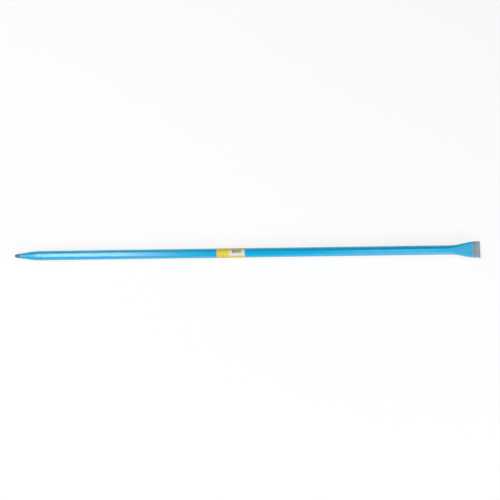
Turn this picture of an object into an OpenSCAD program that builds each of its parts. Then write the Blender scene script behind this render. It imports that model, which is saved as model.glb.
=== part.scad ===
// Digging bar: a solid round bar with a blunt point at one end and a broad chisel at the other.
// It lies along X, the point at -X and the cutting edge at +X, with the blade flat and its width
// along Y. X is counted from the middle of the bar, and the shaft's underside lies on z = 0.

/* [Bar] */
// Length from the tip of the point to the cutting edge
bar_length = 1500; // [1100:10:1800]
// Diameter of the round shaft
shaft_d = 30; // [26:1:36]

/* [Point end] */
// Radius of the blunt nose
nose_r = 5.5; // [3:0.5:7]
// Angle between the side of the cone and the axis
point_angle = 9; // [7:0.5:12]
// Radius that eases the cone into the shaft
point_blend_r = 180; // [60:10:260]
// Length of the bare steel tip
point_bit_length = 17; // [12:1:30]
// Diameter of the round tenon that holds the tip in its head
tenon_d = 7; // [4:0.5:8]
// Length of the tenon
tenon_length = 14; // [8:1:20]

/* [Chisel end] */
// Width of the cutting edge
edge_width = 54; // [44:1:75]
// Thickness of the blunt cutting edge
edge_thickness = 2; // [1:0.5:3.5]
// Length of the flare, from the round bar to the cutting edge
flare_length = 106; // [80:1:150]
// How sharply the sides turn out from the bar and in again at the blade
flare_turn = 1.9; // [1.4:0.1:2.6]
// How far the two forged flats run on past the flare, into the round neck
flat_lead = 4; // [1:1:20]
// Thickness of the blade where the grinding begins
blade_thickness = 11; // [8:0.5:14]
// Length of the ground bevels
bevel_length = 16; // [12:1:22]
// Thickness where the bevels turn steeper, close to the edge
edge_bevel_thickness = 5.8; // [4:0.2:7]
// Length of the steeper edge bevels
edge_bevel_length = 5.5; // [3:0.5:8]
// Length of the bare steel blade
chisel_bit_length = 25; // [23:1:40]
// Width of the tongue that holds the blade in its head
tongue_width = 26; // [16:1:30]
// Thickness of the tongue at its root
tongue_thickness = 6; // [4:0.5:7]
// Thickness of the tongue at its tip
tongue_tip_thickness = 3; // [2:0.5:3.5]
// Length of the tongue
tongue_length = 16; // [10:1:24]

/* [Welded joints] */
// Length of round neck between a head's taper and its joint with the shaft
neck_length = 20; // [12:1:40]
// Diameter of the spigot that centres a head in the shaft
spigot_d = 14; // [10:1:18]
// Length of the spigot inside the shaft
spigot_length = 22; // [15:1:40]
// Gap between shaft and neck at the bottom of the weld groove
root_gap = 2; // [1:0.5:3]
// Slope of each side of the weld groove
groove_angle = 30; // [20:1:35]

/* [Label] */
// Length of the wound label along the bar
label_length = 90; // [60:1:140]
// Thickness of the label
label_thickness = 0.09; // [0.06:0.01:0.12]
// Place of the label's middle, counted from the middle of the bar
label_place = -54; // [-300:1:300]
// Gap between the label's two ends, underneath the bar
label_gap = 16; // [6:1:30]
// Length of the white sticker along the bar
panel_length = 50; // [30:1:56]
// Height of the white sticker, round the bar
panel_arc = 21; // [12:1:30]
// Thickness of the white sticker
panel_thickness = 0.05; // [0.04:0.01:0.08]
// Distance of the sticker from the label's end nearer the chisel
panel_margin = 0.5; // [0.5:0.5:4]
// Middle of the sticker, turned from the top towards the front
panel_turn = 5; // [-30:1:30]

/* [Fits] */
// Thickness of the glue that the label lies on
glue_line = 0.02; // [0.01:0.01:0.04]
// Clearance all round a spigot, tenon or tongue in its seat
seat_clearance = 0.1; // [0.05:0.05:0.2]
// Clearance beyond the end of a spigot, tenon or tongue
end_clearance = 0.5; // [0.5:0.5:2]
// Chamfer that leads a spigot or tenon into its seat
lead_chamfer = 1; // [0.5:0.25:1.5]

/* [Hidden] */
$fn = 96;

paint_colour = "#10A5E1";
steel_colour = "#929FA6";
label_colour = "#E8CD45";
panel_colour = "#F4F2E8";

shaft_r = shaft_d / 2;
spigot_r = spigot_d / 2;
tenon_r = tenon_d / 2;
label_inner_r = shaft_r + glue_line;
label_r = label_inner_r + label_thickness;
axis_z = shaft_r;
tip_x = -bar_length / 2;
edge_x = bar_length / 2;

// The point, counted from the tip: a round nose, a straight cone, then an arc tangent to the shaft
nose_end = nose_r * (1 - sin(point_angle));
blend_drop = point_blend_r * (1 - cos(point_angle));
cone_end = nose_end + (shaft_r - blend_drop - nose_r * cos(point_angle)) / tan(point_angle);
point_length = cone_end + point_blend_r * sin(point_angle);
chisel_length = flare_length + flat_lead;

// Where the bare steel ends, and the middle of each weld
point_split_x = tip_x + point_bit_length;
chisel_split_x = edge_x - chisel_bit_length;
point_joint_x = tip_x + point_length + neck_length;
chisel_joint_x = edge_x - chisel_length - neck_length;

label_x0 = label_place - label_length / 2;
label_x1 = label_place + label_length / 2;

function reversed(list) = [for (i = [len(list) - 1 : -1 : 0]) list[i]];
function spaced(a, b, n) = [for (i = [0 : n]) a + (b - a) * i / n];
function turn_of(arc, radius) = arc / radius * 180 / PI;

// Radius of the point at a distance s from the tip, past its nose
function cone_r(s) = nose_r * cos(point_angle) + (s - nose_end) * tan(point_angle);
function blend_r(s) =
    shaft_r - point_blend_r + sqrt(pow(point_blend_r, 2) - pow(point_length - s, 2));
function point_r(s) = s < cone_end ? cone_r(s) : blend_r(s);

// Share of the blade's extra width that is left at a share s of the flare, from the edge to the bar
function spread(s) =
    let (near = pow(1 - s, flare_turn), far = pow(s, flare_turn)) near / (near + far);
// Half width of the chisel at a distance u from its cutting edge
function chisel_r(u) = shaft_r + (edge_width / 2 - shaft_r) * spread(min(u / flare_length, 1));

// Half the width of a weld at a radius r
function groove(r) = root_gap / 2 + (r - spigot_r) * tan(groove_angle);

// End of a head, from its surface in to the axis; the shaft lies on the side that into points to
function neck_end(joint_x, into) =
    let (end_x = joint_x + into * (root_gap / 2 + spigot_length))
    [
        [shaft_r, joint_x - into * groove(shaft_r)],
        [spigot_r, joint_x - into * groove(spigot_r)],
        [spigot_r, end_x - into * lead_chamfer],
        [spigot_r - lead_chamfer, end_x],
        [0, end_x],
    ];

// End of the shaft, from the axis out to its surface
function shaft_end(joint_x, into) =
    let (
        bore_r = spigot_r + seat_clearance,
        bore_end = joint_x + into * (root_gap / 2 + spigot_length + end_clearance)
    )
    [
        [0, bore_end],
        [bore_r, bore_end],
        [bore_r, joint_x + into * groove(bore_r)],
        [shaft_r, joint_x + into * groove(shaft_r)],
    ];

// Solid of revolution about the bar's axis, from points [radius, x]
module turned(profile) {
    translate([0, 0, axis_z])
        rotate([0, 90, 0])
            rotate_extrude()
                polygon(profile);
}

// Part of a thin ring about the bar's axis, from an angle off the top towards the front
module wound(inner_r, thickness, from, turn, x0, x1) {
    outer_r = inner_r + thickness;
    translate([0, 0, axis_z])
        rotate([0, 90, 0])
            rotate([0, 0, 180 + from])
                rotate_extrude(angle = turn)
                    polygon([[inner_r, x0], [outer_r, x0], [outer_r, x1], [inner_r, x1]]);
}

// Side view given by its upper half, points [x, height above the axis], and as wide as stated
module flattened(upper, width) {
    lower = [for (p = reversed(upper)) [p[0], -p[1]]];
    translate([0, width / 2, axis_z])
        rotate([90, 0, 0])
            linear_extrude(width)
                polygon(concat(upper, lower));
}

// The space between the two forged flats and ground bevels, which clears the round neck
module between_flats() {
    slope = (shaft_r - blade_thickness / 2) / (chisel_length - bevel_length);
    reach = chisel_length + neck_length + root_gap + spigot_length;
    flattened(
        [
            [edge_x, edge_thickness / 2],
            [edge_x - edge_bevel_length, edge_bevel_thickness / 2],
            [edge_x - bevel_length, blade_thickness / 2],
            [edge_x - reach, blade_thickness / 2 + slope * (reach - bevel_length)],
        ],
        edge_width + shaft_d
    );
}

// Tongue of the blade, or the cleft that it sits in when grown and deepened
module tongue(grown = 0, deeper = 0) {
    flattened(
        [
            [chisel_split_x, tongue_thickness / 2 + grown],
            [chisel_split_x - tongue_length - deeper, tongue_tip_thickness / 2 + grown],
        ],
        tongue_width + 2 * grown
    );
}

// Weld metal that fills the groove between a head and the shaft, dressed flush
module weld(joint_x) {
    color(paint_colour)
        turned([
            [spigot_r, joint_x - groove(spigot_r)],
            [shaft_r, joint_x - groove(shaft_r)],
            [shaft_r, joint_x + groove(shaft_r)],
            [spigot_r, joint_x + groove(spigot_r)],
        ]);
}

// Round bar between the two welds, bored for the spigots and bevelled for the weld grooves
module shaft() {
    color(paint_colour)
        turned(concat(shaft_end(point_joint_x, 1), reversed(shaft_end(chisel_joint_x, -1))));
}

// Painted taper, with a round socket for the tip's tenon
module point_head() {
    socket_r = tenon_r + seat_clearance;
    socket_end = point_split_x + tenon_length + end_clearance;
    taper = [
        for (s = spaced(point_bit_length, point_length, 20)) [point_r(s), tip_x + s]
    ];
    color(paint_colour)
        turned(concat(
            [[0, socket_end], [socket_r, socket_end], [socket_r, point_split_x]],
            taper,
            neck_end(point_joint_x, 1)
        ));
}

// Bare steel tip, with the tenon behind it
module point_bit() {
    nose = [
        for (a = spaced(0, 90 - point_angle, 12)) [nose_r * sin(a), tip_x + nose_r * (1 - cos(a))]
    ];
    tenon_end = point_split_x + tenon_length;
    color(steel_colour)
        turned(concat(
            nose,
            [
                [point_r(point_bit_length), point_split_x],
                [tenon_r, point_split_x],
                [tenon_r, tenon_end - lead_chamfer],
                [tenon_r - lead_chamfer, tenon_end],
                [0, tenon_end],
            ]
        ));
}

// Painted forging: a round trumpet flattened on two sides, with a cleft for the blade's tongue
module chisel_head() {
    flare = [
        for (u = spaced(chisel_bit_length, flare_length, 24)) [chisel_r(u), edge_x - u]
    ];
    color(paint_colour)
        difference() {
            intersection() {
                turned(concat([[0, chisel_split_x]], flare, neck_end(chisel_joint_x, -1)));
                between_flats();
            }
            tongue(seat_clearance, end_clearance);
        }
}

// Bare ground blade, with the tongue behind it
module chisel_bit() {
    sides = [for (u = spaced(0, chisel_bit_length, 8)) [chisel_r(u), edge_x - u]];
    color(steel_colour) {
        intersection() {
            turned(concat([[0, edge_x]], sides, [[0, chisel_split_x]]));
            between_flats();
        }
        tongue();
    }
}

// Yellow label, wound round the shaft, with a gap between its ends underneath
module label_wrap() {
    gap_turn = turn_of(label_gap, label_r);
    color(label_colour)
        wound(
            label_inner_r, label_thickness, gap_turn / 2 - 180, 360 - gap_turn, label_x0, label_x1
        );
}

// White sticker on the label
module label_panel() {
    turn = turn_of(panel_arc, label_r);
    panel_x1 = label_x1 - panel_margin;
    color(panel_colour)
        wound(
            label_r, panel_thickness, panel_turn - turn / 2, turn, panel_x1 - panel_length, panel_x1
        );
}

shaft();
point_head();
point_bit();
weld(point_joint_x);  // point_weld
chisel_head();
chisel_bit();
weld(chisel_joint_x);  // chisel_weld
label_wrap();
label_panel();
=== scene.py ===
"""Digging bar in enamelled and bare forged steel, lying on a pale studio floor."""

import math
import random

import bmesh
import bpy
import numpy as np
from mathutils import Matrix, Vector, noise


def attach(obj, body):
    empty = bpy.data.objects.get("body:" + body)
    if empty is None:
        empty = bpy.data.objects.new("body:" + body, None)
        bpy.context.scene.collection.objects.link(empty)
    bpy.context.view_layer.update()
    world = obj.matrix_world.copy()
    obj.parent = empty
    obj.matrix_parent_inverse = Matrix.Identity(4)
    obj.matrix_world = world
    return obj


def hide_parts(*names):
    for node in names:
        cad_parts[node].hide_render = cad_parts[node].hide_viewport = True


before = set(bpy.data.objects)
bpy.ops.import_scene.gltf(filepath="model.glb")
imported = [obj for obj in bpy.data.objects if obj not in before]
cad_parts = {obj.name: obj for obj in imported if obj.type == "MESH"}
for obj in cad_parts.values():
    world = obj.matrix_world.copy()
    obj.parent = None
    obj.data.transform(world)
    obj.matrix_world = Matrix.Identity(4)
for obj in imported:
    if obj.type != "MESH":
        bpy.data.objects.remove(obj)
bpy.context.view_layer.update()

MM = 0.001
ROOT = "root"

# The bar, in millimetres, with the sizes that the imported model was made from
BAR_LENGTH = 1500
SHAFT_R = 15
AXIS_Z = SHAFT_R
TIP_X = -BAR_LENGTH / 2
EDGE_X = BAR_LENGTH / 2

# Point: a round nose, a straight cone, then an arc that eases into the shaft
NOSE_R = 5.5
POINT_ANGLE = math.radians(9)
POINT_BLEND_R = 180
POINT_BIT = 17
TENON_R = 3.5
TENON_LENGTH = 14
NOSE_END = NOSE_R * (1 - math.sin(POINT_ANGLE))
BLEND_DROP = POINT_BLEND_R * (1 - math.cos(POINT_ANGLE))
CONE_RISE = SHAFT_R - BLEND_DROP - NOSE_R * math.cos(POINT_ANGLE)
CONE_END = NOSE_END + CONE_RISE / math.tan(POINT_ANGLE)
POINT_LENGTH = CONE_END + POINT_BLEND_R * math.sin(POINT_ANGLE)

# Chisel, measured from its cutting edge back to the round bar. HALF_HEIGHTS is half the distance
# between its flats or bevels, and CORNER_SHARPNESS goes from ground to forged corners.
EDGE_WIDTH = 54
FLARE_LENGTH = 106
FLARE_TURN = 1.9
CHISEL_LENGTH = FLARE_LENGTH + 4
CHISEL_BIT = 25
HALF_HEIGHTS = ((0, 5.5, 16, CHISEL_LENGTH), (1, 2.9, 5.5, SHAFT_R))
CORNER_SHARPNESS = ((0, 9, 16, CHISEL_BIT), (44, 30, 14, 9))
TONGUE_HALF_WIDTH = 13
TONGUE_HALF_ROOT = 3
TONGUE_HALF_TIP = 1.5
TONGUE_LENGTH = 16
TONGUE_SHARPNESS = 60

# Welded joints between the heads and the shaft
NECK_LENGTH = 20
SPIGOT_R = 7
SPIGOT_LENGTH = 22
HALF_ROOT_GAP = 1
GROOVE_SLOPE = math.tan(math.radians(30))
CLEARANCE = 0.1
END_CLEARANCE = 0.5
CHAMFER = 1

POINT_SPLIT_X = TIP_X + POINT_BIT
CHISEL_SPLIT_X = EDGE_X - CHISEL_BIT
POINT_JOINT_X = TIP_X + POINT_LENGTH + NECK_LENGTH
CHISEL_JOINT_X = EDGE_X - CHISEL_LENGTH - NECK_LENGTH

# Label and sticker, with their turns in degrees from the top towards the front. Underneath, the
# label's two ends have lifted, and the lift fades along the label. The print is a block of bars.
LABEL_X = (-99, -9)
LABEL_R = (15.02, 15.11)
LABEL_TURN = 149.6
LABEL_CORNER = 1
LABEL_LIFT = 0.25
LIFT_FADE = 2
STICKER_X = (-59.5, -9.5)
STICKER_R = (15.11, 15.16)
STICKER_TURN = (-34.8, 44.8)
STICKER_CORNER = 2
BARS_X = (-49.5, -20)
BARS_R = (15.155, 15.175)
BARS_TURN = (-33.3, 9)
BAR_WIDTHS = (0.35, 0.35, 0.7, 1.05)
BAR_GAPS = (0.35, 0.35, 0.7)

# Coat of enamel. Its ragged rim laps onto the bare steel, which lies a little deeper. The depths
# are below the painted surface, and the reaches are lengths along the bar.
COAT = 0.12
STEEL_DEPTH = 1.1 * COAT
RIM_FOOT_DEPTH = 0.85 * COAT
RIM_TOP_DEPTH = 0.3 * COAT
RIM_REACH = (0.2, 1.3)
RIM_WAVE = 3.5
RIM_TOOTH = 0.25
RIM_TOOTH_WIDTH = 0.9
RIM_STEP = 0.1

# Marks of the hammer and the grinding belt, each with its depth and its width
POINT_DENT, POINT_DENT_WIDTH = 0.25, 12
CHISEL_DENT, CHISEL_DENT_WIDTH = 0.35, 16
TIP_DENT, TIP_DENT_WIDTH = 0.22, 5
BLADE_DENT, BLADE_DENT_WIDTH = 0.12, 4
EDGE_NICK, EDGE_NICK_WIDTH = 0.35, 3
WELD_RIPPLE, WELD_RIPPLE_WIDTH = 0.16, 4.5
WELD_RIPPLE_CROWDING = (2.2, 1, 1)
WELD_SAG = 0.05
EDGE_EASE, EDGE_EASE_LENGTH = 0.35, 0.6

# The dents fade out over these lengths before they reach a rim of paint or the round neck
POINT_RIM_FADE = 10
CHISEL_RIM_FADE = 12
BLADE_RIM_FADE = 3
NECK_FADE = 40

# Fineness of the meshes: points round a section, which crowd at its corners, and rings along. The
# tip starts just off its axis, and its cone a step behind the nose.
AROUND = 128
OUTLINE_SAMPLES = 1200
CORNER_PULL = 0.7
SHAFT_RINGS = 130
WELD_RINGS = 25
POINT_RINGS = 34
TIP_RINGS = 14
TIP_FIRST_ANGLE = 0.03
TIP_FIRST_STEP = 0.8
CHISEL_RINGS = 56
# The blade's rings, measured from its edge, stand closer at the edge and where the bevels turn
EDGE_RINGS = (0, 0.25, 0.6, 1.2, 2.5, 4, 5.1, 5.5, 5.9, 8, 11)
BLADE_RINGS = EDGE_RINGS + (14, 15.5, 16, 16.5, 19, 22, CHISEL_BIT)
# Steps of a bent sheet, points on its corners, and the angle from which an edge is shown sharp
SHEET_STEP_AROUND = 1.2
SHEET_STEP_ALONG = 1.5
CORNER_POINTS = 9
SHARP_ANGLE = math.radians(35)


# Shapes, as rings of points about the bar's axis in millimetres


def section(x, round_r=None, half_y=None, half_z=None, sharpness=24):
    """Ring of points at x inside a circle, a half width and a half height, whichever are given."""
    turn = np.linspace(0, math.pi / 2, OUTLINE_SAMPLES)
    limits = []
    if round_r:
        limits.append(np.full_like(turn, 1 / round_r))
    if half_y:
        limits.append(np.cos(turn) / half_y)
    if half_z:
        limits.append(np.sin(turn) / half_z)
    limits = np.array(limits)
    most = limits.max(0)
    # The higher the sharpness, the less the corners between two limits are eased
    reach = 1 / (most * ((limits / most) ** sharpness).sum(0) ** (1 / sharpness))
    y, z = reach * np.cos(turn), reach * np.sin(turn)
    # Points are shared out by distance and by how sharply the outline turns
    step = np.hypot(np.diff(y), np.diff(z))
    bend = np.abs(np.diff(np.unwrap(np.arctan2(np.diff(z), np.diff(y)))))
    share = step / step.sum()
    share[1:] += CORNER_PULL * bend / bend.sum()
    along = np.concatenate([[0], np.cumsum(share)])
    wanted = np.linspace(0, along[-1], AROUND // 4 + 1)
    y, z = np.interp(wanted, along, y), np.interp(wanted, along, z)
    y[-1] = z[0] = 0
    ring_y = np.concatenate([y, -y[-2::-1], -y[1:], y[-2:0:-1]])
    ring_z = np.concatenate([z, z[-2::-1], -z[1:], -z[-2:0:-1]])
    return np.stack([np.full(AROUND, float(x)), ring_y, ring_z], 1)


def drifting(points, grain):
    """Soft noise from 0 to 1 at each point, in patches about grain across."""
    return np.array([0.5 + 0.5 * noise.noise(Vector(p) / grain) for p in points]).clip(0, 1)


def pressed(ring, depth):
    """The ring moved inwards by depth, which is one value or one for each point."""
    halves = np.abs(ring[:, 1:]).max(0)
    moved = ring.copy()
    moved[:, 1:] -= np.reshape(depth, (-1, 1)) * ring[:, 1:] / halves
    return moved


def forged(ring, depth, grain):
    """The ring pressed inwards by up to depth, in dents about grain across, as hammers leave."""
    return pressed(ring, depth * drifting(ring, grain))


def loft(rings, closed=False):
    """Skin over the rings, either closed into a loop or with a middle point closing each end."""
    count = len(rings)
    points = np.vstack(rings)
    faces = []
    for i in range(count if closed else count - 1):
        here, there = i * AROUND, (i + 1) % count * AROUND
        for j in range(AROUND):
            k = (j + 1) % AROUND
            faces.append((here + j, here + k, there + k, there + j))
    if not closed:
        points = np.vstack([points, rings[0].mean(0), rings[-1].mean(0)])
        for start, middle in ((0, count * AROUND), ((count - 1) * AROUND, count * AROUND + 1)):
            faces += [(start + j, start + (j + 1) % AROUND, middle) for j in range(AROUND)]
    return points, faces


def wrapped(ends, turns, radii, corner=0.0, lift=None):
    """Thin sheet bent round the bar. Its ends, turns and radii are pairs, the lower value first."""
    outer_r = radii[1]
    arcs = np.radians(turns) * outer_r
    inset = np.array([0.0])
    if corner:
        inset = corner * (1 - np.cos(np.linspace(0, math.pi / 2, CORNER_POINTS)))
    steps = max(2, int(np.ptp(arcs) / SHEET_STEP_AROUND))
    middle = np.linspace(arcs[0] + corner, arcs[1] - corner, steps)
    across = np.concatenate([arcs[0] + inset[:-1], middle, arcs[1] - inset[-2::-1]])
    # The round corners trim both ends of each row
    from_side = np.minimum(across - arcs[0], arcs[1] - across)
    trims = corner - np.sqrt(np.maximum(corner**2 - np.maximum(corner - from_side, 0) ** 2, 0))
    rows = max(2, int((ends[1] - ends[0]) / SHEET_STEP_ALONG))
    points = []
    for radius in radii:
        for arc, trim in zip(across, trims):
            turn = arc / outer_r
            raised = radius + (lift(turn) if lift else 0)
            for x in np.linspace(ends[0] + trim, ends[1] - trim, rows):
                points.append((x, -raised * math.sin(turn), raised * math.cos(turn)))
    columns = len(across)
    size = columns * rows
    faces = []
    for i in range(columns - 1):
        for j in range(rows - 1):
            a = i * rows + j
            quad = (a, a + 1, a + rows + 1, a + rows)
            faces.append(tuple(size + q for q in quad))
            faces.append(quad[::-1])
    rim = list(range(rows))
    rim += [i * rows + rows - 1 for i in range(1, columns)]
    rim += [(columns - 1) * rows + j for j in range(rows - 2, -1, -1)]
    rim += [i * rows for i in range(columns - 2, 0, -1)]
    for a, b in zip(rim, rim[1:] + rim[:1]):
        faces.append((a, b, size + b, size + a))
    return np.array(points), faces


def piece(name, shape, material, replaced=None):
    """Adds one mesh on the root body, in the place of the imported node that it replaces."""
    points, faces = shape
    mesh = bpy.data.meshes.new(name)
    mesh.from_pydata((points + (0, 0, AXIS_Z)) * MM, [], faces)
    shell = bmesh.new()
    shell.from_mesh(mesh)
    bmesh.ops.recalc_face_normals(shell, faces=shell.faces)
    shell.to_mesh(mesh)
    shell.free()
    mesh.shade_smooth()
    mesh.set_sharp_from_angle(angle=SHARP_ANGLE)
    mesh.materials.append(material)
    made = bpy.data.objects.new(name, mesh)
    bpy.context.scene.collection.objects.link(made)
    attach(made, ROOT)
    if replaced:
        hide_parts(replaced)


# Materials, with their colours as sRGB and the sizes of their patterns in millimetres


def linear(code):
    """sRGB hex to linear colour."""
    parts = [int(code[i : i + 2], 16) / 255 for i in (1, 3, 5)]
    return tuple(p / 12.92 if p <= 0.04045 else ((p + 0.055) / 1.055) ** 2.4 for p in parts) + (1,)


def emptied(owner):
    """The node tree of a material or world, with nothing in it."""
    owner.use_nodes = True
    owner.node_tree.nodes.clear()
    return owner.node_tree


def add(tree, kind, inputs=None, **settings):
    """Adds a node: settings are its own fields, inputs are values or the outputs that feed it."""
    node = tree.nodes.new(kind)
    for field, value in settings.items():
        setattr(node, field, value)
    for socket, value in (inputs or {}).items():
        if isinstance(value, bpy.types.NodeSocket):
            tree.links.new(value, node.inputs[socket])
        else:
            node.inputs[socket].default_value = value
    return node


def per_metre(size_mm):
    """Pattern scale for features of a real size."""
    return 1 / (size_mm * MM)


def sprayed_enamel():
    """Sky blue enamel sprayed on forged steel: glossy, with orange peel, rubs and a few chips."""
    material = bpy.data.materials.new("sprayed_enamel")
    tree = emptied(material)
    place = add(tree, "ShaderNodeTexCoord").outputs["Object"]
    # The coat is thinner in places, which shows as cloudy patches a hand wide
    cloud = add(
        tree, "ShaderNodeTexNoise", {"Vector": place, "Scale": per_metre(70), "Detail": 3.0}
    )
    coat = add(
        tree,
        "ShaderNodeMix",
        {"Factor": cloud.outputs["Fac"], "A": linear("#009CCB"), "B": linear("#08AAD8")},
        data_type="RGBA",
    )
    # Chips down to the steel, 1 to 2 mm wide and rare
    chips = add(
        tree, "ShaderNodeTexNoise", {"Vector": place, "Scale": per_metre(5), "Detail": 2.0}
    )
    chipped = add(
        tree,
        "ShaderNodeMapRange",
        {"Value": chips.outputs["Fac"], "From Min": 0.735, "From Max": 0.745},
    ).outputs["Result"]
    colour = add(
        tree,
        "ShaderNodeMix",
        {"Factor": chipped, "A": coat.outputs["Result"], "B": linear("#59646B")},
        data_type="RGBA",
    )
    # Rubs from other bars in the bundle run lengthwise, 60 mm long and 1.5 mm wide
    lengthwise = add(tree, "ShaderNodeMapping", {"Vector": place, "Scale": (0.025, 1.0, 1.0)})
    rubs = add(
        tree,
        "ShaderNodeTexNoise",
        {"Vector": lengthwise.outputs["Vector"], "Scale": per_metre(1.5), "Detail": 3.0},
    )
    roughness = add(
        tree,
        "ShaderNodeMapRange",
        {
            "Value": rubs.outputs["Fac"],
            "From Min": 0.3,
            "From Max": 0.75,
            "To Min": 0.13,
            "To Max": 0.21,
        },
    )
    # Orange peel in cells of 2 mm, about 8 thousandths of a millimetre deep
    peel = add(
        tree, "ShaderNodeTexNoise", {"Vector": place, "Scale": per_metre(2), "Detail": 1.0}
    )
    skin = add(
        tree,
        "ShaderNodeBump",
        {"Height": peel.outputs["Fac"], "Distance": 0.008 * MM, "Strength": 1.0},
    ).outputs["Normal"]
    # A chip is as deep as the coat
    pit = add(
        tree,
        "ShaderNodeBump",
        {"Height": chipped, "Distance": COAT * MM, "Strength": 0.6, "Normal": skin},
        invert=True,
    )
    shader = add(
        tree,
        "ShaderNodeBsdfPrincipled",
        {
            "Base Color": colour.outputs["Result"],
            "Roughness": roughness.outputs["Result"],
            "Normal": pit.outputs["Normal"],
            "IOR": 1.8,
        },
    )
    add(tree, "ShaderNodeOutputMaterial", {"Surface": shader.outputs["BSDF"]})
    return material


def bare_steel(name, dull, bright, stain, roughness):
    """Hardened carbon steel: a dull grey, with fine lines across the bar and faint stains."""
    material = bpy.data.materials.new(name)
    tree = emptied(material)
    place = add(tree, "ShaderNodeTexCoord").outputs["Object"]
    # Grit of a tenth of a millimetre leaves lines, drawn 0.5 mm apart so that they show
    across = add(tree, "ShaderNodeMapping", {"Vector": place, "Scale": (1.0, 0.04, 0.04)})
    lines = add(
        tree,
        "ShaderNodeTexNoise",
        {"Vector": across.outputs["Vector"], "Scale": per_metre(0.5), "Detail": 4.0},
    ).outputs["Fac"]
    lined = add(
        tree,
        "ShaderNodeMix",
        {"Factor": lines, "A": linear(dull), "B": linear(bright)},
        data_type="RGBA",
    )
    polish = add(
        tree,
        "ShaderNodeMapRange",
        {
            "Value": lines,
            "From Min": 0.3,
            "From Max": 0.7,
            "To Min": roughness + 0.08,
            "To Max": roughness - 0.08,
        },
    )
    grooves = add(
        tree, "ShaderNodeBump", {"Height": lines, "Distance": 0.03 * MM, "Strength": 1.0}
    )
    # Faint rust and handling marks in blotches of 8 mm
    blotch = add(
        tree, "ShaderNodeTexNoise", {"Vector": place, "Scale": per_metre(8), "Detail": 4.0}
    )
    stained = add(
        tree,
        "ShaderNodeMapRange",
        {"Value": blotch.outputs["Fac"], "From Min": 0.5, "From Max": 0.8, "To Max": 0.55},
    )
    colour = add(
        tree,
        "ShaderNodeMix",
        {"Factor": stained.outputs["Result"], "A": lined.outputs["Result"], "B": linear(stain)},
        data_type="RGBA",
    )
    shader = add(
        tree,
        "ShaderNodeBsdfPrincipled",
        {
            "Base Color": colour.outputs["Result"],
            "Metallic": 1.0,
            "Roughness": polish.outputs["Result"],
            "Normal": grooves.outputs["Normal"],
        },
    )
    add(tree, "ShaderNodeOutputMaterial", {"Surface": shader.outputs["BSDF"]})
    return material


def label_stock(name, pale, deep, grime, roughness):
    """Printed label stock: an even satin colour, with faint creases and a little grime."""
    material = bpy.data.materials.new(name)
    tree = emptied(material)
    place = add(tree, "ShaderNodeTexCoord").outputs["Object"]
    # The colour drifts a little, in clouds of 12 mm
    cloud = add(
        tree, "ShaderNodeTexNoise", {"Vector": place, "Scale": per_metre(12), "Detail": 3.0}
    )
    clouded = add(
        tree,
        "ShaderNodeMix",
        {"Factor": cloud.outputs["Fac"], "A": linear(deep), "B": linear(pale)},
        data_type="RGBA",
    )
    # Grime gathers in streaks along the bar, 0.8 mm wide
    along = add(tree, "ShaderNodeMapping", {"Vector": place, "Scale": (0.1, 1.0, 1.0)})
    streak = add(
        tree,
        "ShaderNodeTexNoise",
        {"Vector": along.outputs["Vector"], "Scale": per_metre(0.8), "Detail": 3.0},
    )
    soiled = add(
        tree,
        "ShaderNodeMapRange",
        {"Value": streak.outputs["Fac"], "From Min": 0.55, "From Max": 0.85, "To Max": 0.35},
    )
    colour = add(
        tree,
        "ShaderNodeMix",
        {"Factor": soiled.outputs["Result"], "A": clouded.outputs["Result"], "B": linear(grime)},
        data_type="RGBA",
    )
    # Creases 6 mm apart and a few hundredths of a millimetre high
    crease = add(
        tree, "ShaderNodeTexNoise", {"Vector": place, "Scale": per_metre(6), "Detail": 2.0}
    )
    creased = add(
        tree,
        "ShaderNodeBump",
        {"Height": crease.outputs["Fac"], "Distance": 0.05 * MM, "Strength": 1.0},
    )
    shader = add(
        tree,
        "ShaderNodeBsdfPrincipled",
        {
            "Base Color": colour.outputs["Result"],
            "Roughness": roughness,
            "Normal": creased.outputs["Normal"],
            "IOR": 1.49,
        },
    )
    add(tree, "ShaderNodeOutputMaterial", {"Surface": shader.outputs["BSDF"]})
    return material


enamel = sprayed_enamel()
# The blade comes off the grinding belt, so it is the brighter of the two bare ends
ground = bare_steel("ground_steel", "#84919E", "#A8B6C2", "#6E6B69", 0.46)
# The tip is drawn in a darker grey than the blade, and is only dressed by hand
darker_tip = bare_steel("darker_tip_steel", "#5F686F", "#7D878E", "#5A5048", 0.5)
# Yellow printed vinyl film with a satin face
vinyl = label_stock("printed_vinyl", "#D9C941", "#CDB72E", "#A29238", 0.42)
# Coated white paper of a sticker, a little creamy
paper = label_stock("coated_paper", "#D0D1C4", "#C8CABA", "#B3B19F", 0.5)
# Thermal print: a soft black that lies flat on the paper
ink = label_stock("thermal_print", "#3D353C", "#2C262C", "#4C464A", 0.55)


# The bar and its two heads


def point_r(s):
    """Radius of the point behind its nose, at a distance s from the tip."""
    if s < CONE_END:
        return NOSE_R * math.cos(POINT_ANGLE) + (s - NOSE_END) * math.tan(POINT_ANGLE)
    return SHAFT_R - POINT_BLEND_R + math.sqrt(POINT_BLEND_R**2 - (POINT_LENGTH - s) ** 2)


def groove(r):
    """Half the width of a weld at a radius r."""
    return HALF_ROOT_GAP + (r - SPIGOT_R) * GROOVE_SLOPE


def neck_end(joint_x, into):
    """Rings from a head's round neck into the shaft, which lies on the side that into points to."""
    end_x = joint_x + into * (HALF_ROOT_GAP + SPIGOT_LENGTH)
    return [
        section(joint_x - into * groove(SHAFT_R), SHAFT_R),
        section(joint_x - into * groove(SPIGOT_R), SPIGOT_R),
        section(end_x - into * CHAMFER, SPIGOT_R),
        section(end_x, SPIGOT_R - CHAMFER),
    ]


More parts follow.
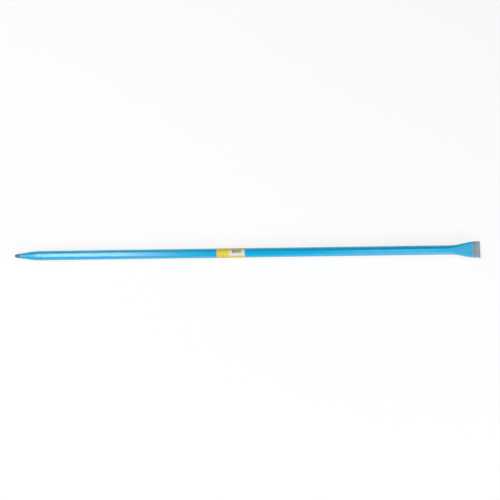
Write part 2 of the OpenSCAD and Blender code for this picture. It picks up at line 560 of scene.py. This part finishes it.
def shaft_end(joint_x, into):
    """Rings from the bottom of the shaft's bore out to its surface."""
    bore_r = SPIGOT_R + CLEARANCE
    bottom_x = joint_x + into * (HALF_ROOT_GAP + SPIGOT_LENGTH + END_CLEARANCE)
    return [
        section(bottom_x, bore_r),
        section(joint_x + into * groove(bore_r), bore_r),
        section(joint_x + into * groove(SHAFT_R), SHAFT_R),
    ]


def shaft():
    """Rolled round bar between the two welds."""
    left, right = shaft_end(POINT_JOINT_X, 1), shaft_end(CHISEL_JOINT_X, -1)
    between = np.linspace(left[-1][0, 0], right[-1][0, 0], SHAFT_RINGS)[1:-1]
    return loft(left + [section(x, SHAFT_R) for x in between] + right[::-1])


def weld(joint_x):
    """Ring of weld metal, ground flush, with the last of its ripples under the paint."""
    half = groove(SHAFT_R)
    rings = [section(joint_x - groove(SPIGOT_R), SPIGOT_R)]
    for x in np.linspace(-half, half, WELD_RINGS):
        ring = section(joint_x + x, SHAFT_R)
        # The ripples crowd along the bar and die away at the weld's two toes
        ripple = WELD_RIPPLE * drifting(ring * WELD_RIPPLE_CROWDING, WELD_RIPPLE_WIDTH)
        sag = (1 - (x / half) ** 4) * (WELD_SAG + ripple)
        ring[:, 1:] *= (1 - sag / SHAFT_R)[:, None]
        rings.append(ring)
    rings.append(section(joint_x + groove(SPIGOT_R), SPIGOT_R))
    return loft(rings, closed=True)


def coat_rim(edge, towards):
    """Rings of the enamel's ragged rim, from the bare steel out, on the side towards points to."""
    foot, top = pressed(edge, RIM_FOOT_DEPTH), pressed(edge, RIM_TOP_DEPTH)
    reach = RIM_REACH[0] + (RIM_REACH[1] - RIM_REACH[0]) * drifting(edge, RIM_WAVE)
    reach += RIM_TOOTH * drifting(edge, RIM_TOOTH_WIDTH)
    lip = foot.copy()
    lip[:, 0] += towards * reach
    top[:, 0] += towards * (reach - RIM_STEP)
    return [foot, lip, top]


def point_head():
    """Painted taper, with a socket for the tip's tenon."""
    socket_r = TENON_R + CLEARANCE
    socket_x = POINT_SPLIT_X + TENON_LENGTH + END_CLEARANCE
    taper = []
    for s in np.linspace(POINT_BIT, POINT_LENGTH, POINT_RINGS):
        dent = POINT_DENT * min(1, (s - POINT_BIT) / POINT_RIM_FADE)
        taper.append(forged(section(TIP_X + s, point_r(s)), dent, POINT_DENT_WIDTH))
    socket = [section(socket_x, socket_r), section(POINT_SPLIT_X, socket_r)]
    return loft(socket + coat_rim(taper[0], -1) + taper[1:] + neck_end(POINT_JOINT_X, 1))


def point_bit():
    """Bare blunt tip, dressed by hand, with its tenon."""
    nose = [
        section(TIP_X + NOSE_R * (1 - math.cos(a)), NOSE_R * math.sin(a))
        for a in np.linspace(TIP_FIRST_ANGLE, math.pi / 2 - POINT_ANGLE, TIP_RINGS)
    ]
    side = [
        section(TIP_X + s, point_r(s))
        for s in np.linspace(NOSE_END + TIP_FIRST_STEP, POINT_BIT, TIP_RINGS)
    ]
    bare = []
    for ring in nose + side:
        # Less is taken off near the very tip, and the dents fade out at the paint
        ring_r = ring[:, 1].max()
        dent = min(TIP_DENT, 0.2 * ring_r, 0.05 * (POINT_SPLIT_X - ring[0, 0]))
        bare.append(forged(pressed(ring, min(STEEL_DEPTH, 0.3 * ring_r)), dent, TIP_DENT_WIDTH))
    end_x = POINT_SPLIT_X + TENON_LENGTH
    tenon = [
        section(POINT_SPLIT_X, TENON_R),
        section(end_x - CHAMFER, TENON_R),
        section(end_x, TENON_R - CHAMFER),
    ]
    return loft(bare + tenon)


def chisel_r(u):
    """Half width of the chisel at a distance u from its cutting edge."""
    s = min(u / FLARE_LENGTH, 1)
    near, far = (1 - s) ** FLARE_TURN, s**FLARE_TURN
    return SHAFT_R + (EDGE_WIDTH / 2 - SHAFT_R) * near / (near + far)


def half_height(u):
    """Half the distance between the flats or bevels at a distance u from the cutting edge."""
    known_u, known_z = HALF_HEIGHTS
    if u <= CHISEL_LENGTH:
        return float(np.interp(u, known_u, known_z))
    slope = (known_z[-1] - known_z[-2]) / (known_u[-1] - known_u[-2])
    return known_z[-1] + slope * (u - CHISEL_LENGTH)


def blade_section(u, narrower=0.0, thinner=0.0):
    """The chisel's outline at a distance u from its cutting edge: a flared round cut by flats."""
    return section(
        EDGE_X - u,
        chisel_r(u) - narrower,
        half_z=half_height(u) - thinner,
        sharpness=float(np.interp(u, *CORNER_SHARPNESS)),
    )


def tongue(x, half_z, grown=0.0):
    """Outline of the blade's tongue, or of the cleft around it."""
    half_y = TONGUE_HALF_WIDTH + grown
    return section(x, half_y=half_y, half_z=half_z + grown, sharpness=TONGUE_SHARPNESS)


def chisel_head():
    """Painted forging that turns the round bar into a broad flat blade."""
    cleft = [
        tongue(CHISEL_SPLIT_X - TONGUE_LENGTH - END_CLEARANCE, TONGUE_HALF_TIP, CLEARANCE),
        tongue(CHISEL_SPLIT_X, TONGUE_HALF_ROOT, CLEARANCE),
    ]
    skin = []
    neck_u = CHISEL_LENGTH + NECK_LENGTH - groove(SHAFT_R)
    for u in np.linspace(CHISEL_BIT, neck_u - 1, CHISEL_RINGS):
        ring = blade_section(u)
        from_neck = min(1, (neck_u - u) / NECK_FADE)
        if from_neck < 1:
            neck = section(EDGE_X - u, SHAFT_R)
            ring = neck + (ring - neck) * from_neck
        dent = CHISEL_DENT * from_neck * min(1, (u - CHISEL_BIT) / CHISEL_RIM_FADE)
        skin.append(forged(ring, dent, CHISEL_DENT_WIDTH))
    return loft(cleft + coat_rim(skin[0], 1) + skin[1:] + neck_end(CHISEL_JOINT_X, -1))


def chisel_bit():
    """Bare blade with two ground bevels on each face, a blunt edge and its tongue."""
    rings = []
    for u in BLADE_RINGS:
        # The last millimetre turns in at both corners of the edge, and its two arrises are eased
        turned_in = max(0.0, 1 - u) ** 2
        eased = EDGE_EASE * max(0.0, EDGE_EASE_LENGTH - u) / EDGE_EASE_LENGTH
        ring = blade_section(u, turned_in, eased)
        if u < 1:
            ring[:, 0] -= EDGE_NICK * drifting(ring * (0, 1, 0), EDGE_NICK_WIDTH)
        dent = BLADE_DENT * min(1, (CHISEL_BIT - u) / BLADE_RIM_FADE)
        rings.append(forged(pressed(ring, STEEL_DEPTH), dent, BLADE_DENT_WIDTH))
    rings += [
        tongue(CHISEL_SPLIT_X, TONGUE_HALF_ROOT),
        tongue(CHISEL_SPLIT_X - TONGUE_LENGTH, TONGUE_HALF_TIP),
    ]
    return loft(rings)


piece("painted_shaft", shaft(), enamel, "shaft")
piece("painted_point", point_head(), enamel, "point_head")
piece("bare_tip", point_bit(), darker_tip, "point_bit")
piece("point_weld_ring", weld(POINT_JOINT_X), enamel, "point_weld")
piece("painted_chisel", chisel_head(), enamel, "chisel_head")
piece("bare_blade", chisel_bit(), ground, "chisel_bit")
piece("chisel_weld_ring", weld(CHISEL_JOINT_X), enamel, "chisel_weld")


# Label and sticker


def lifted(turn):
    """How far the label's two ends have come up, underneath the bar."""
    from_end = math.radians(LABEL_TURN) * LABEL_R[0] - abs(turn) * LABEL_R[0]
    return LABEL_LIFT * math.exp(-from_end / LIFT_FADE)


def printed_bars():
    """A block of plain bars across the sticker, which stand for print and spell nothing."""
    dice = random.Random(11)
    points, faces = [], []
    x = BARS_X[0]
    while x < BARS_X[1]:
        width = dice.choice(BAR_WIDTHS)
        bar_points, bar_faces = wrapped((x, x + width), BARS_TURN, BARS_R)
        start = sum(len(p) for p in points)
        points.append(bar_points)
        faces += [tuple(start + v for v in face) for face in bar_faces]
        x += width + dice.choice(BAR_GAPS)
    return np.vstack(points), faces


label = wrapped(LABEL_X, (-LABEL_TURN, LABEL_TURN), LABEL_R, LABEL_CORNER, lifted)
sticker = wrapped(STICKER_X, STICKER_TURN, STICKER_R, STICKER_CORNER)
piece("yellow_label", label, vinyl, "label_wrap")
piece("white_sticker", sticker, paper, "label_panel")
piece("printed_bars", printed_bars(), ink)


# Studio, in metres

FLOOR_REACH = 20

# The long lamp above the left half lies across the bar in strips, each with its two ends in x,
# then the radiance of its core and of its whole width. It fades towards the middle of the bar,
# which gives the enamel its long soft highlight.
LAMP_HEIGHT = 3.0
CORE_Y, CORE_WIDTH = -0.5, 4.4
WHOLE_Y, WHOLE_WIDTH = -1.3, 10
STRIPS = (
    (-2.90, -2.30, 1.6, 0.2),
    (-2.30, -1.90, 2.0, 0.2),
    (-1.90, -1.36, 3.6, 0.8),
    (-1.36, -0.96, 5.6, 1.9),
    (-0.96, -0.83, 5.1, 1.7),
    (-0.83, -0.70, 3.8, 1.3),
    (-0.70, -0.57, 1.5, 0.6),
    (-0.57, -0.44, 0.1, 0.1),
)


def softbox(name, place, aim, size, radiance):
    """Rectangular lamp that looks as bright as a wall of that radiance."""
    lamp = bpy.data.lights.new(name, "AREA")
    lamp.shape = "RECTANGLE"
    lamp.size, lamp.size_y = size
    lamp.energy = radiance * math.pi * size[0] * size[1]
    holder = bpy.data.objects.new(name, lamp)
    holder.location = place
    holder.rotation_euler = (Vector(aim) - Vector(place)).to_track_quat("-Z", "Y").to_euler()
    holder.visible_camera = False
    bpy.context.scene.collection.objects.link(holder)


def studio_floor():
    """Matt pale floor that reads as white, and still takes the bar's shadow."""
    material = bpy.data.materials.new("studio_floor")
    tree = emptied(material)
    path = add(tree, "ShaderNodeLightPath").outputs
    mirrored = add(
        tree,
        "ShaderNodeMath",
        {0: path["Is Glossy Ray"], 1: path["Is Transmission Ray"]},
        operation="MAXIMUM",
    ).outputs[0]
    seen = add(
        tree, "ShaderNodeMath", {0: path["Is Camera Ray"], 1: mirrored}, operation="MAXIMUM"
    ).outputs[0]
    # Where it only lights the bar it is mid grey, and where it is seen it glows up to white
    matt = add(tree, "ShaderNodeBsdfDiffuse", {"Color": linear("#666666")}).outputs["BSDF"]
    shaded = add(tree, "ShaderNodeBsdfDiffuse", {"Color": linear("#808080")}).outputs["BSDF"]
    glow = add(tree, "ShaderNodeEmission", {"Color": (1, 1, 1, 1), "Strength": 0.745})
    white = add(tree, "ShaderNodeAddShader", {0: shaded, 1: glow.outputs["Emission"]})
    shown = add(tree, "ShaderNodeMixShader", {0: seen, 1: matt, 2: white.outputs[0]})
    add(tree, "ShaderNodeOutputMaterial", {"Surface": shown.outputs[0]})
    return material


def studio_air():
    """Pale at the horizon and beyond both ends of the bar, and dark above and across it."""
    world = bpy.data.worlds.new("studio_air")
    tree = emptied(world)
    direction = add(tree, "ShaderNodeTexCoord").outputs["Generated"]
    parts = add(tree, "ShaderNodeSeparateXYZ", {0: direction}).outputs
    horizon = add(
        tree,
        "ShaderNodeMapRange",
        {"Value": parts["Z"], "From Min": 0.02, "From Max": 0.2, "To Min": 1.0, "To Max": 0.01},
        interpolation_type="SMOOTHSTEP",
    ).outputs["Result"]
    sideways = add(tree, "ShaderNodeMath", {0: parts["X"]}, operation="ABSOLUTE").outputs[0]
    ends = add(
        tree,
        "ShaderNodeMapRange",
        {"Value": sideways, "From Min": 0.35, "From Max": 0.8, "To Max": 0.4},
        interpolation_type="SMOOTHSTEP",
    ).outputs["Result"]
    strength = add(tree, "ShaderNodeMath", {0: horizon, 1: ends}, operation="MAXIMUM").outputs[0]
    air = add(tree, "ShaderNodeBackground", {"Color": (1, 1, 1, 1), "Strength": strength})
    add(tree, "ShaderNodeOutputWorld", {"Surface": air.outputs["Background"]})
    bpy.context.scene.world = world


floor_mesh = bpy.data.meshes.new("floor")
corners = [(x * FLOOR_REACH, y * FLOOR_REACH, 0) for x, y in ((-1, -1), (1, -1), (1, 1), (-1, 1))]
floor_mesh.from_pydata(corners, [], [(0, 1, 2, 3)])
floor_mesh.materials.append(studio_floor())
floor = bpy.data.objects.new("floor", floor_mesh)
bpy.context.scene.collection.objects.link(floor)

studio_air()
for number, (x0, x1, core, whole) in enumerate(STRIPS):
    bands = (("core", CORE_Y, CORE_WIDTH, core), ("whole", WHOLE_Y, WHOLE_WIDTH, whole))
    for band, y, width, radiance in bands:
        place = ((x0 + x1) / 2, y, LAMP_HEIGHT)
        name = f"left_softbox_{band}_{number}"
        softbox(name, place, (place[0], y, 0), (x1 - x0, width), radiance)
# Four weak lamps show in the right half, two along its top and two along its near side
softbox("right_softbox_near", (0.95, -0.85, LAMP_HEIGHT), (0.95, -0.85, 0), (0.6, 3.5), 1.3)
softbox("right_softbox_far", (2.2, -0.25, LAMP_HEIGHT), (2.2, -0.25, 0), (1.9, 2.3), 0.7)
softbox("front_softbox_near", (0.52, -2.8, 1.25), (0.52, 0, 1.25), (0.4, 1.5), 0.8)
softbox("front_softbox_far", (1.26, -2.8, 1.1), (1.26, 0, 1.1), (1.08, 1.8), 1.6)
# Two lamps beyond its end light the whole bar
softbox("key_softbox", (3.0, -2.8, 1.6), (0.4, 0, 0), (2.4, 1.2), 10.5)
softbox("end_softbox", (4.0, -0.4, LAMP_HEIGHT), (0.7, 0, 0), (2.2, 2.0), 1.8)


# Camera: the photograph is 500 pixels wide, with 310.26 of them to a metre at the bar

PIXELS = 500
PIXELS_PER_METRE = 310.26
DISTANCE = 3.0
ELEVATION = math.radians(82)
ROLL = math.radians(0.81)
# Pixels from the middle of the bar to the middle of the picture, across and up
OFF_CENTRE = (2.52, 2.76)

back = Vector((0, -math.cos(ELEVATION), math.sin(ELEVATION)))
rise = Vector((0, math.sin(ELEVATION), math.cos(ELEVATION)))
right = Vector((1, 0, 0)) * math.cos(ROLL) - rise * math.sin(ROLL)
up = Vector((1, 0, 0)) * math.sin(ROLL) + rise * math.cos(ROLL)
eye = Vector((0, 0, AXIS_Z * MM)) + back * DISTANCE
eye += (right * OFF_CENTRE[0] + up * OFF_CENTRE[1]) / PIXELS_PER_METRE
camera_data = bpy.data.cameras.new("camera")
camera_data.lens = PIXELS_PER_METRE * DISTANCE * camera_data.sensor_width / PIXELS
camera = bpy.data.objects.new("camera", camera_data)
camera.matrix_world = Matrix.Translation(eye) @ Matrix((right, up, back)).transposed().to_4x4()
bpy.context.scene.collection.objects.link(camera)
bpy.context.scene.camera = camera
bpy.context.scene.view_settings.view_transform = "Standard"
